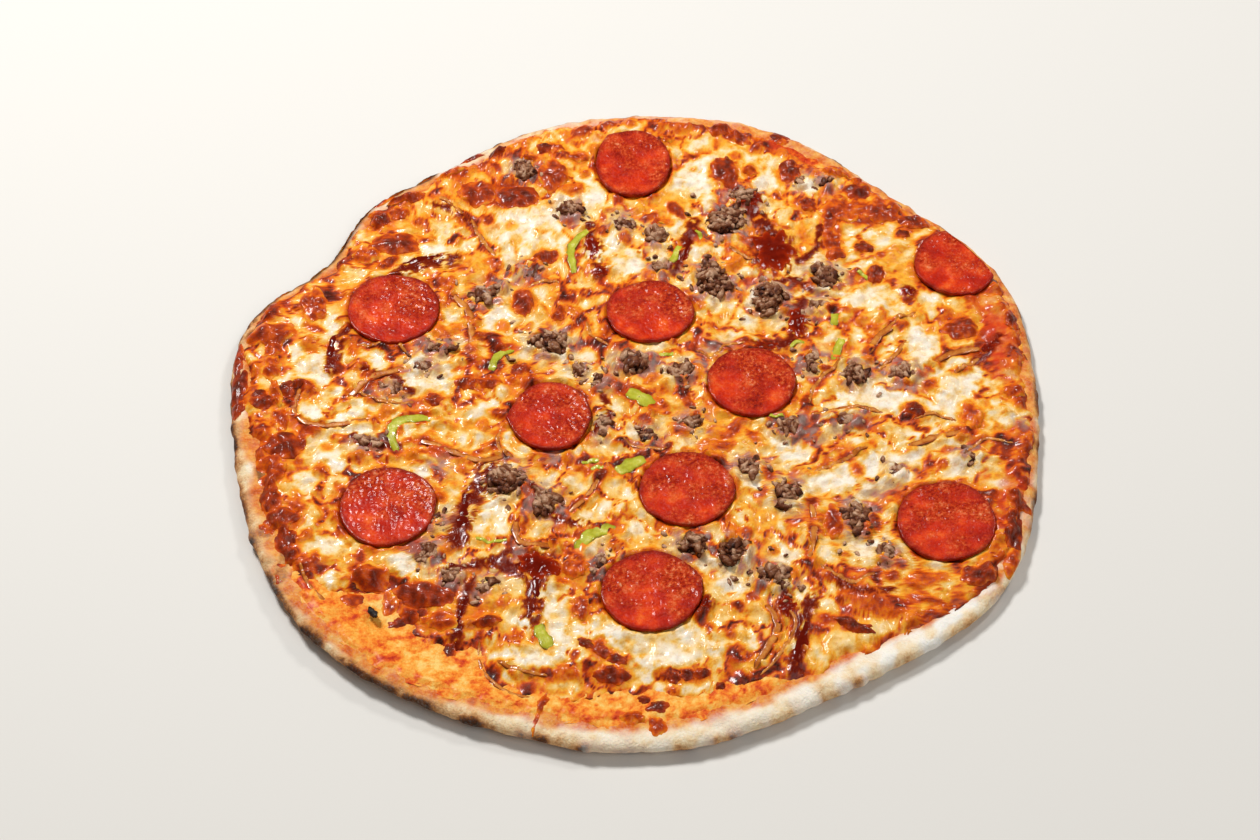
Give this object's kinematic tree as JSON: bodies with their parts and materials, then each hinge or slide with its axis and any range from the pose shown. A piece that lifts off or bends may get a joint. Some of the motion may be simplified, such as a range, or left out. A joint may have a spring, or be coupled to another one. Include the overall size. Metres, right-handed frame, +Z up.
{
  "type": "thin-crust pizza",
  "caption": "Whole round thin-crust pizza with melted cheese, pepperoni slices, minced beef, green pepper, onion and barbecue sauce.",
  "frame": {"origin": "middle of the pizza's outline, on its flat underside", "axes": "+Z up through the toppings, +X to the right and +Y away from the eater as the pizza is seen in the picture"},
  "size_m": [0.3281, 0.3219, 0.0147],
  "materials": {
    "baked_dough": "matte, baked, floury",
    "tomato_sauce": "moist",
    "melted_cheese": "melted, oily, browned in spots",
    "pepperoni": "oily, fine pale grain",
    "minced_beef": "rough, moist",
    "green_pepper": "wet, soft",
    "cooked_onion": "wet, translucent",
    "barbecue_sauce": "thick and glossy"
  },
  "bodies": {
    "root": {"crust": "baked_dough", "tomato_sauce": "tomato_sauce", "cheese": "melted_cheese", "pepperoni_01": "pepperoni", "pepperoni_02": "pepperoni", "pepperoni_03": "pepperoni", "pepperoni_04": "pepperoni", "pepperoni_05": "pepperoni", "pepperoni_06": "pepperoni", "pepperoni_07": "pepperoni", "pepperoni_08": "pepperoni", "pepperoni_09": "pepperoni", "pepperoni_10": "pepperoni", "beef_01": "minced_beef", "beef_02": "minced_beef", "beef_03": "minced_beef", "beef_04": "minced_beef", "beef_05": "minced_beef", "beef_06": "minced_beef", "beef_07": "minced_beef", "beef_08": "minced_beef", "beef_09": "minced_beef", "beef_10": "minced_beef", "beef_11": "minced_beef", "beef_12": "minced_beef", "beef_13": "minced_beef", "beef_14": "minced_beef", "beef_15": "minced_beef", "beef_16": "minced_beef", "beef_17": "minced_beef", "beef_18": "minced_beef", "beef_19": "minced_beef", "beef_20": "minced_beef", "beef_21": "minced_beef", "beef_22": "minced_beef", "beef_23": "minced_beef", "pepper_01": "green_pepper", "pepper_02": "green_pepper", "pepper_03": "green_pepper", "pepper_04": "green_pepper", "pepper_05": "green_pepper", "pepper_06": "green_pepper", "pepper_07": "green_pepper", "pepper_08": "green_pepper", "pepper_09": "green_pepper", "pepper_10": "green_pepper", "onion_01": "cooked_onion", "onion_02": "cooked_onion", "onion_03": "cooked_onion", "onion_04": "cooked_onion", "onion_05": "cooked_onion", "onion_06": "cooked_onion", "onion_07": "cooked_onion", "onion_08": "cooked_onion", "onion_09": "cooked_onion", "onion_10": "cooked_onion", "onion_11": "cooked_onion"}
  },
  "joints": []
}
